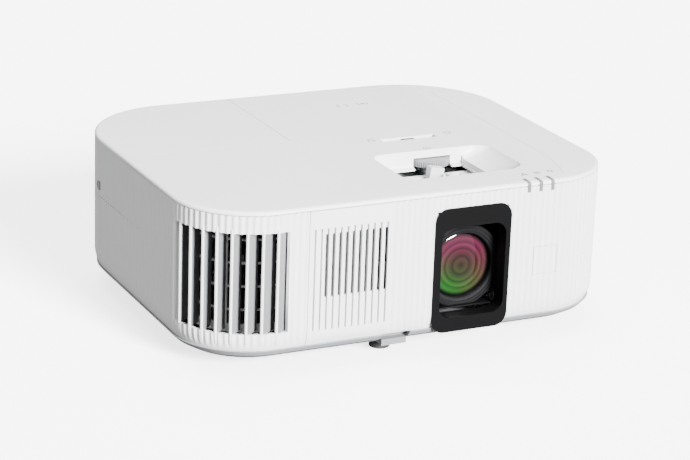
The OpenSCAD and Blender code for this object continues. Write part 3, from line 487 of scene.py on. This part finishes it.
rear_sheet = wall_sheet(s_rear_right + SEAM / 2, ROUND_CASE - s_rear_right - SEAM / 2,
                        rear_holes + [lamp_hole], rear_relief)
rear_wall = thicken(finish_piece("rear_wall", rear_sheet, white_abs, "root",
                                 ["rear_panel"]), WALL_T)
warm_grey_abs = moulded("grey_moulded_abs", (0.13, 0.133, 0.138), 0.45)
CAP_PROFILE = [(0, -4.5), (5, -4.5), (5, -3.6), (3.6, -3.4), (3.6, -0.6), (3.2, -0.15), (2, -0.35),
               (0, -0.4)]
for name in ("power_button", "menu_button", "enter_button"):
    low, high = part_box(name)
    x, z = (low.x + high.x) / 2 / MM, (low.z + high.z) / 2 / MM
    cut(rear_wall, turned([(0, -8), (4, -8), (4, 4), (0, 4)], (x, REAR_Y / MM, z), "Y", 32))
    cap = turned(CAP_PROFILE, (x, REAR_Y / MM, z), "Y", 32)
    finish_piece(name + "_cap", cap, warm_grey_abs, name, [name])

# ---- Top cover and lamp cover ----
# One shallow lid with a softly rounded edge. The lamp cover is its rear left quarter with
# the wall under it, split off by a groove. A curved hairline sets off the right side, and a
# deep pocket gives the fingers room at the lens controls.
COVER_EDGE = ((117.05, 0.3), (117.3, 0.05), (118.3, 0.05), (119.0, 0.4), (119.55, 1.15),
              (119.82, 2.3), (119.93, 3.8))
cover_places = []
start = 0.0
for length, centre, radius, turn in track():
    pieces = 22 if radius else 5
    cover_places += [start + length * i / pieces for i in range(pieces)]
    start += length


def lid_solid():
    rings = []
    for z, inset in COVER_EDGE:
        points = [on_outline(s, inset * MM) for s in cover_places]
        rings.append([(p.x, p.y, z * MM) for p in points])
    return capped(bmesh.new(), rings)


def pocket(xs, y0, y1, floor, corner0, corner1, soft):
    """A solid cutter along X with rounded ends and soft lower edges, in millimetres."""
    rings = []
    for x in xs:
        ends = [max(0, corner0 - (x - xs[0])), max(0, corner1 - (xs[-1] - x))]
        pull = sum(r - math.sqrt(max(0, r * r - e * e)) for r, e in zip((corner0, corner1), ends) if r)
        low, high, z0 = y0 + pull, y1 - pull, floor(x)
        blend = min(soft, 120.2 - z0)
        ring = [(x, low - 0.8, 121.5), (x, low - 0.7, 120), (x, low - 0.15, 119.4)]
        arc = [math.radians(a) for a in (0, 22, 45, 68, 90)]
        ring += [(x, low + blend * (1 - math.cos(a)), z0 + blend * (1 - math.sin(a))) for a in arc]
        ring += [(x, high - blend * (1 - math.cos(a)), z0 + blend * (1 - math.sin(a)))
                 for a in reversed(arc)]
        ring += [(x, high + 0.15, 119.4), (x, high + 0.7, 120), (x, high + 0.8, 121.5)]
        rings.append([tuple(c * MM for c in p) for p in ring])
    return capped(bmesh.new(), rings)


def box_solid(low, high, bevel=0.0, segments=3):
    """A box between two corners in millimetres, with its edges rounded."""
    bm = bmesh.new()
    bmesh.ops.create_cube(bm, size=1)
    low, high = Vector(low) * MM, Vector(high) * MM
    bmesh.ops.scale(bm, vec=high - low, verts=bm.verts)
    bmesh.ops.translate(bm, vec=(low + high) / 2, verts=bm.verts)
    if bevel:
        bmesh.ops.bevel(bm, geom=bm.edges, offset=bevel * MM, affect="EDGES", segments=segments,
                        profile=0.5, material=-1)
    return bm


lid = finish_piece("top_lid", lid_solid(), white_abs, "root", ["top_cover"])

# The control pocket: a deep left part with a floor, and a right part that ramps up to the lid.
# The floor is open over the lens levers, and a notch behind it clears the shift dial.
POCKET_LEFT, RAMP_LEFT, RAMP_RISE, POCKET_RIGHT = 4, 79, 82, 102
POCKET_FRONT, POCKET_BACK = -103, -41
POCKET_FLOOR, RAMP_LOW, RAMP_HEIGHT = 107.5, 111.2, 8.75
cut(lid, box_solid((2.2, -104.6, 106), (83.5, -39.4, 118), 1.2), "UNION")
cut(lid, box_solid((80, -104, 109.5), (103, -40, 118), 1.2), "UNION")
cut(lid, pocket([POCKET_LEFT + 0.12 * i * i for i in range(10)] + [20, 40, 60, 79.5, 80.6],
                POCKET_FRONT, POCKET_BACK - 0.5, lambda x: POCKET_FLOOR, 10, 0, 2.2))
ramp_xs = [RAMP_LEFT + i * (POCKET_RIGHT - RAMP_LEFT) / 16 for i in range(17)]
cut(lid, pocket(ramp_xs, POCKET_FRONT, POCKET_BACK,
                lambda x: RAMP_LOW + RAMP_HEIGHT * max(0, (x - RAMP_RISE) / 20) ** 1.5, 0, 15, 5))
lever_opening = box_solid((20, -98, 100), (RAMP_LEFT, -45, 108))
dial_notch = box_solid((40.3, -46, 100), (70.7, -37, 114.4))
keystone_slot = box_solid((30.5, -11.9, 115), (75, -5.1, 121))
for opening in (lever_opening, dial_notch, keystone_slot):
    cut(lid, opening)
for pipe in PIPES:
    cut(lid, box_solid((pipe / MM - 1.5, -140, 110), (pipe / MM + 1.5, -126.9, 122)))
lamp_zone = ((-170, LAMP_FRONT / MM - 0.12, 70), (LAMP_SIDE / MM + 0.5, 140, 122))
cut(lid, box_solid(*lamp_zone))

# The lamp cover slides off to the left, so its lid and wall are one piece to handle.
lamp_lid = finish_piece("lamp_lid", lid_solid(), white_abs, "lamp_cover",
                        ["lamp_cover"])
cut(lamp_lid, box_solid((-170, LAMP_FRONT / MM, 70), (LAMP_SIDE / MM, 140, 122)), "INTERSECT")
lamp_sheet = wall_sheet(s_lamp_rear, s_lamp_front, low=LAMP_FOOT, top=117.1 * MM)
thicken(finish_piece("lamp_wall", lamp_sheet, white_abs, "lamp_cover"), WALL_T)

# A hairline groove runs round the right side of the lid, where the decorated skin ends.
GROOVE = [(118.3, -125.5), (123.5, -112), (127.2, -95), (129.2, -75), (129.6, -55), (129.6, 20),
          (129.4, 85), (127.8, 103), (124.6, 113), (119, 121)]
hairline = bmesh.new()
rings = []
for k, (x, y) in enumerate(GROOVE):
    ahead = Vector(GROOVE[min(k + 1, len(GROOVE) - 1)]) - Vector(GROOVE[max(k - 1, 0)])
    across = Vector((ahead.y, -ahead.x)).normalized() * 0.22
    one, other = (x - across.x, y - across.y), (x + across.x, y + across.y)
    corners = ((*one, 119.65), (*other, 119.65), (*other, 121), (*one, 121))
    rings.append([tuple(c * MM for c in p) for p in corners])
capped(hairline, rings)
cut(lid, hairline)
cut(lid, box_solid((LAMP_SIDE / MM, LAMP_FRONT / MM + 0.3, 119.55), (LAMP_SIDE / MM + 0.5, 140, 122)))


def finish_nodes(material, *names):
    for name in names:
        mesh = shown[name].data
        mesh.materials.clear()
        mesh.materials.append(material)


black_abs = moulded("black_moulded_abs", (0.006, 0.006, 0.007), 0.45, depth=0.1, drift=0.1, gleam=0.2)
rubber = moulded("foot_rubber", (0.02, 0.02, 0.02), 0.75, grain=600, depth=0.25, drift=0.15)
tray_abs = moulded("tray_abs", (0.22, 0.225, 0.235), 0.5)
finish_nodes(tray_abs, "base_tray")
finish_nodes(rubber, "front_foot_pad", "rear_foot_pad_left", "rear_foot_pad_right")
finish_nodes(black_abs, "rear_foot_left", "rear_foot_right")
finish_nodes(warm_grey_abs, "foot_lever")

# ---- Bright metal ----
# The tilting post, the lens rods, the case screws and the socket shells are zinc-plated steel
# with fine drawn lines. The lamp cover's captive screw has a dark grey finish instead.
plated_steel = moulded("plated_steel", (0.62, 0.63, 0.65), 0.28, grain=2600, depth=0.08, drift=0.06,
                       metallic=1.0)
finish_nodes(warm_grey_abs, "lamp_cover_screw")
finish_nodes(plated_steel, "front_foot", "shift_frame", "hdmi_sockets", "usb_sockets",
             "case_screws")

# ---- Exhaust guard ----
# A pale plastic grille, level bars on upright posts, stands behind the blades, so that no
# finger reaches the fan or the lamp.
guard_abs = moulded("guard_abs", (0.5, 0.505, 0.515), 0.5)
finish_nodes(guard_abs, "exhaust_guard")

# ---- Intake screen ----
# A fine grey mesh of flat wires stands behind the front slots as painted shade: its grey makes the slots
# look dark and hides the boards behind them.
def joined(target, part):
    """Adds a finished bmesh solid to another."""
    mesh = bpy.data.meshes.new("part")
    part.to_mesh(mesh)
    part.free()
    target.from_mesh(mesh)
    bpy.data.meshes.remove(mesh)
    return target


screen = bmesh.new()
SCREEN_LEFT, SCREEN_LOW, SCREEN_W, SCREEN_H = -76, 48, 41, 53
UPRIGHTS, CROSSES, WIRE_T = 33, 27, 0.5
screen_y = FRONT_Y / MM + 4.5
for i in range(UPRIGHTS):
    x = SCREEN_LEFT + SCREEN_W * (i + 0.5) / UPRIGHTS
    joined(screen, box_solid((x - 0.55, screen_y, SCREEN_LOW),
                             (x + 0.55, screen_y + WIRE_T, SCREEN_LOW + SCREEN_H), 0.12, 1))
for i in range(CROSSES):
    z = SCREEN_LOW + SCREEN_H * (i + 0.5) / CROSSES
    joined(screen, box_solid((SCREEN_LEFT, screen_y + 0.3, z - 0.5),
                             (SCREEN_LEFT + SCREEN_W, screen_y + 0.3 + WIRE_T, z + 0.5), 0.12, 1))
# The screen's grey is painted shade for the slots.
slot_shade_screen = moulded("slot_shade_screen", (0.3, 0.3, 0.305), 0.6)
finish_piece("intake_screen", screen, slot_shade_screen, "root")

# ---- Lens window ----
# The bezel is satin black ABS, clipped into the front wall. Its funnel leads back to the
# front cell, a black anodised ring whose bore carries the coated front element.
bezel_abs = moulded("bezel_abs", (0.0016, 0.0016, 0.0018), 0.5, depth=0.06, drift=0.12, gleam=0.05)
finish_nodes(bezel_abs, "lens_bezel")

# A black plate with an upright rear lip stands under the lens as painted shade: it hides the pale tray
# there, so the opening round the lens reads dark.
baffle_left, baffle_right = bezel_box[0].x / MM + 4, bezel_box[1].x / MM - 4
bezel_back = bezel_box[1].y / MM
baffle = box_solid((baffle_left, bezel_back + 0.4, 27), (baffle_right, bezel_back + 13, 28), 0.3, 2)
joined(baffle, box_solid((baffle_left, bezel_back + 12, 28),
                         (baffle_right, bezel_back + 13, 33), 0.3, 2))
finish_piece("painted_shade_plate", baffle, bezel_abs, "root")

cell_metal = moulded("anodised_cell", (0.004, 0.004, 0.0045), 0.45, grain=1800, drift=0.15, gleam=0.1)
cell_low, cell_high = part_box("front_cell")
glass_low, glass_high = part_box("front_glass")
LENS_X, LENS_Z = (glass_low.x + glass_high.x) / 2 / MM, (glass_low.z + glass_high.z) / 2 / MM
GLASS_R = (glass_high.x - glass_low.x) / 2 / MM
CELL_R = (cell_high.x - cell_low.x) / 2 / MM
CELL_FRONT, CELL_BACK = cell_low.y / MM, cell_high.y / MM
CELL_LEN, CELL_BORE, CELL_LIP = CELL_BACK - CELL_FRONT, 26.4, 7
cell_profile = [(GLASS_R, 1.4), (GLASS_R + 0.6, 0.8), (GLASS_R + 2.2, 0.6), (GLASS_R + 2.5, 0.05),
                (CELL_R - 3.2, 0.05), (CELL_R - 3.0, 0.7), (CELL_R - 2.3, 0.7), (CELL_R - 2.1, 0.05),
                (CELL_R - 1.0, 0.1), (CELL_R, 1.0), (CELL_R, CELL_LEN), (CELL_BORE, CELL_LEN),
                (CELL_BORE, CELL_LIP), (GLASS_R, CELL_LIP)]
cell_ring = turned(cell_profile, (LENS_X, CELL_FRONT, LENS_Z), "Y", 128)
finish_piece("lens_cell", cell_ring, cell_metal, "front_cell", ["front_cell"], sharp=25)


def paint_lens_reflections():
    """Deep glass with painted reflections: rings of magenta, and green at the lower left, are painted into
    its base colour for what its coatings reflect.
    """
    material = bpy.data.materials.new("glass_with_painted_reflections")
    material.use_nodes = True
    nodes, links = material.node_tree.nodes, material.node_tree.links
    shader = nodes["Principled BSDF"]
    shader.inputs["Roughness"].default_value = 0.06
    shader.inputs["Coat Weight"].default_value = 1.0
    shader.inputs["Coat Roughness"].default_value = 0.02
    place = nodes.new("ShaderNodeTexCoord")
    centre = nodes.new("ShaderNodeMapping")
    centre.inputs["Location"].default_value = (-LENS_X * MM, 0, -LENS_Z * MM)
    split = nodes.new("ShaderNodeSeparateXYZ")
    flat = nodes.new("ShaderNodeCombineXYZ")
    reach = nodes.new("ShaderNodeVectorMath")
    reach.operation = "LENGTH"
    reflection_rings = nodes.new("ShaderNodeValToRGB")
    scale = nodes.new("ShaderNodeMath")
    scale.operation = "DIVIDE"
    scale.inputs[1].default_value = GLASS_R * MM
    for source, target in ((place.outputs["Object"], centre.inputs["Vector"]),
                           (centre.outputs["Vector"], split.inputs["Vector"]),
                           (split.outputs["X"], flat.inputs["X"]), (split.outputs["Z"], flat.inputs["Z"]),
                           (flat.outputs["Vector"], reach.inputs[0]),
                           (reach.outputs["Value"], scale.inputs[0]),
                           (scale.outputs["Value"], reflection_rings.inputs["Fac"])):
        links.new(source, target)
    # The stops paint the reflected rings: magenta bands between dark ones, going black at the rim.
    stops = ((0, (0.006, 0.002, 0.003)), (0.2, (0.022, 0.003, 0.006)), (0.28, (0.008, 0.002, 0.003)),
             (0.46, (0.03, 0.003, 0.01)), (0.52, (0.012, 0.002, 0.004)), (0.64, (0.045, 0.006, 0.017)),
             (0.7, (0.02, 0.003, 0.008)), (0.82, (0.04, 0.007, 0.016)), (0.93, (0.004, 0.002, 0.002)),
             (1, (0.001, 0.001, 0.001)))
    ramp = reflection_rings.color_ramp
    while len(ramp.elements) < len(stops):
        ramp.elements.new(0.5)
    for element, (position, colour) in zip(ramp.elements, stops):
        element.position = position
        element.color = (*colour, 1)
    # The lower left of the glass gets a green painted reflection.
    lower = nodes.new("ShaderNodeMapRange")
    lower.inputs["From Min"].default_value = 0.012
    lower.inputs["From Max"].default_value = -0.014
    links.new(split.outputs["Z"], lower.inputs["Value"])
    leftness = nodes.new("ShaderNodeMapRange")
    leftness.inputs["From Min"].default_value = 0.034
    leftness.inputs["From Max"].default_value = -0.008
    links.new(split.outputs["X"], leftness.inputs["Value"])
    both = nodes.new("ShaderNodeMath")
    both.operation = "MULTIPLY"
    links.new(lower.outputs["Result"], both.inputs[0])
    links.new(leftness.outputs["Result"], both.inputs[1])
    green = nodes.new("ShaderNodeMixRGB")
    links.new(both.outputs["Value"], green.inputs["Fac"])
    links.new(reflection_rings.outputs["Color"], green.inputs["Color1"])
    richer = nodes.new("ShaderNodeHueSaturation")
    richer.inputs["Saturation"].default_value = 1.1
    turn = nodes.new("ShaderNodeSeparateColor")
    swap = nodes.new("ShaderNodeCombineColor")
    links.new(reflection_rings.outputs["Color"], turn.inputs["Color"])
    links.new(turn.outputs["Red"], swap.inputs["Green"])
    links.new(turn.outputs["Green"], swap.inputs["Red"])
    links.new(turn.outputs["Green"], swap.inputs["Blue"])
    links.new(swap.outputs["Color"], richer.inputs["Color"])
    links.new(richer.outputs["Color"], green.inputs["Color2"])
    links.new(green.outputs["Color"], shader.inputs["Base Color"])
    return material


# The front element's colour is painted reflection, not the glass's own tint.
lens_painted_reflections = paint_lens_reflections()
dome = [(0, 0.5)] + [(GLASS_R * math.sin(a), 0.5 + 3.2 * (1 - math.cos(a))) for a in
                     [math.radians(10 * i) for i in range(1, 9)]]
dome += [(GLASS_R - 0.1, 5.5), (0, 5.5)]
finish_piece("front_element", turned(dome, (LENS_X, glass_low.y / MM, LENS_Z), "Y", 96), lens_painted_reflections,
             "front_cell", ["front_glass"])

# ---- Lens controls ----
# A knurled dial raises and lowers the lens. In front of it a wide lever zooms and a small
# tab focuses. Both stand up through slots in a pale deck under the pocket's opening.
dial_low, dial_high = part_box("shift_dial")
DIAL_X, DIAL_Y = (dial_low.x + dial_high.x) / 2, (dial_low.y + dial_high.y) / 2
DIAL_R = (dial_high.x - dial_low.x) / 2
DIAL_TOP = dial_high.z
KNURLS = 60
dial = bmesh.new()
rings = []
for z, sink in ((108.05, 0.9), (108.4, 0.2), (112.7, 0), (113.1, 0.25), (DIAL_TOP / MM, 1.1)):
    ring = []
    for k in range(KNURLS * 4):
        angle = 2 * math.pi * k / (KNURLS * 4)
        radius = DIAL_R - sink * MM - (0.45 * MM if k % 4 in (0, 1) else 0)
        ring.append((DIAL_X + radius * math.cos(angle), DIAL_Y + radius * math.sin(angle), z * MM))
    rings.append(ring)
capped(dial, rings)
finish_piece("shift_wheel", dial, warm_grey_abs, "shift_dial", ["shift_dial"], sharp=30)
stem_shaft = turned([(0, 85), (3, 85), (3, 102.2), (6, 102.2), (6, 108.1), (0, 108.1)],
                    (DIAL_X / MM, DIAL_Y / MM, 0), "Z", 48)
finish_piece("shift_stem", stem_shaft, warm_grey_abs, "shift_dial")
lever_abs = moulded("lens_lever_abs", (0.42, 0.425, 0.435), 0.4)
finish_nodes(lever_abs, "zoom_ring", "focus_ring")
finish_nodes(white_abs, "ring_deck")
finish_nodes(black_abs, "keystone_knob", "lens_barrel", "lens_carriage")

# ---- Indicator light pipes ----
# Three smoked acrylic guides come up through the lid's front edge. One bar behind the front
# wall joins them, so they go in as a single moulding.
pipe_acrylic = moulded("pipe_acrylic", (0.1, 0.1, 0.105), 0.3, drift=0.02)
finish_nodes(pipe_acrylic, "light_pipes")

# ---- Boards, optics, fans and filter ----
# Green glass-fibre boards on posts, a black optical tray with clear glass, black fans with
# grey rotors, and a block of open-cell foam behind the filter door.
board_green = moulded("board_laminate", (0.02, 0.12, 0.05), 0.4, grain=500, depth=0.1, drift=0.25)
finish_nodes(board_green, "receiver_board", "keystone_board", "lamp_ballast", "power_supply", "main_board",
             "wireless_module", "control_board")
finish_nodes(black_abs, "engine_housing", "ac_inlet", "exhaust_fan_frame", "intake_fan_frame", "speaker")
finish_nodes(warm_grey_abs, "lamp_housing", "exhaust_fan_rotor", "intake_fan_rotor")
clear_glass = moulded("clear_optical_glass", (0.55, 0.66, 0.72), 0.1, depth=0.01, drift=0.05)
clear_glass.node_tree.nodes["Principled BSDF"].inputs["Transmission Weight"].default_value = 0.6
finish_nodes(clear_glass, "rear_lens", "zoom_group", "prism_block", "lcd_panels", "colour_mirrors",
             "integrator_lenses", "lamp_reflector")
filter_foam = moulded("filter_foam", (0.05, 0.05, 0.055), 0.95, grain=320, depth=0.9, drift=0.3)
finish_nodes(filter_foam, "filter_element")

# ---- Printed marks ----
# Small grey symbols are pad-printed on the lid: a tall and a flat screen by the keystone
# slider, arrows by the dial, a warning triangle, a sun and a lamp by the light pipes.
ink = moulded("grey_ink", (0.035, 0.036, 0.038), 0.6)
blue_ink = moulded("blue_ink", (0.04, 0.16, 0.42), 0.6)
marks = bmesh.new()


def stroke(points, width, closed=False):
    """A printed line through points on the lid, in millimetres."""
    points = [Vector(p) for p in points] + ([Vector(points[0])] if closed else [])
    for a, b in zip(points, points[1:]):
        along = (b - a).normalized() * width / 2
        across = Vector((-along.y, along.x))
        corners = (a - along + across, b + along + across, b + along - across, a - along - across)
        low = [marks.verts.new((p.x * MM, p.y * MM, 119.85 * MM)) for p in corners]
        lift = bmesh.ops.extrude_face_region(marks, geom=[marks.faces.new(low)])
        bmesh.ops.translate(marks, vec=(0, 0, 0.15 * MM),
                            verts=[v for v in lift["geom"] if isinstance(v, bmesh.types.BMVert)])


def ring_points(x, y, radius, start=0, end=360, steps=14):
    """Points along a round line, between two angles in degrees."""
    angles = [math.radians(start + (end - start) * i / steps) for i in range(steps + 1)]
    return [(x + radius * math.cos(a), y + radius * math.sin(a)) for a in angles]


for x, top_w, low_w in ((22.8, 1.6, 2.8), (87.2, 2.8, 1.6)):
    stroke([(x - low_w, -7), (x + low_w, -7), (x + top_w, -2.8), (x - top_w, -2.8)], 0.5, closed=True)
stroke(ring_points(53.3, -37.2, 2.6, -60, 60), 0.5)
stroke(ring_points(53.3, -37.2, 2.6, 120, 240), 0.5)
stroke([(53.3, -35), (53.3, -39.4)], 0.5)
stroke([(87.9, -119.6), (90, -115.4), (92.1, -119.6)], 0.7, closed=True)
stroke(ring_points(101, -117.6, 1.4), 0.55, closed=True)
for a in range(0, 360, 60):
    ux, uy = math.cos(math.radians(a)), math.sin(math.radians(a))
    stroke([(101 + 2.1 * ux, -117.6 + 2.1 * uy), (101 + 3.0 * ux, -117.6 + 3.0 * uy)], 0.5)
stroke(ring_points(112, -117.2, 1.7, -50, 230), 0.55)
stroke([(110.9, -119.6), (113.1, -119.6)], 0.55)
for x in (43.4, 61):
    for side in (-1, 1):
        stroke(ring_points(x, 88.5, 4, 90 - side * 50, 90 - side * 130, 6), 0.6)
finish_piece("printed_marks", marks, ink, "root")
dot = turned([(0, 119.85), (1.6, 119.85), (1.6, 120), (0, 120)], (61, 88.5, 0), "Z", 24)
finish_piece("printed_dot", dot, blue_ink, "root")
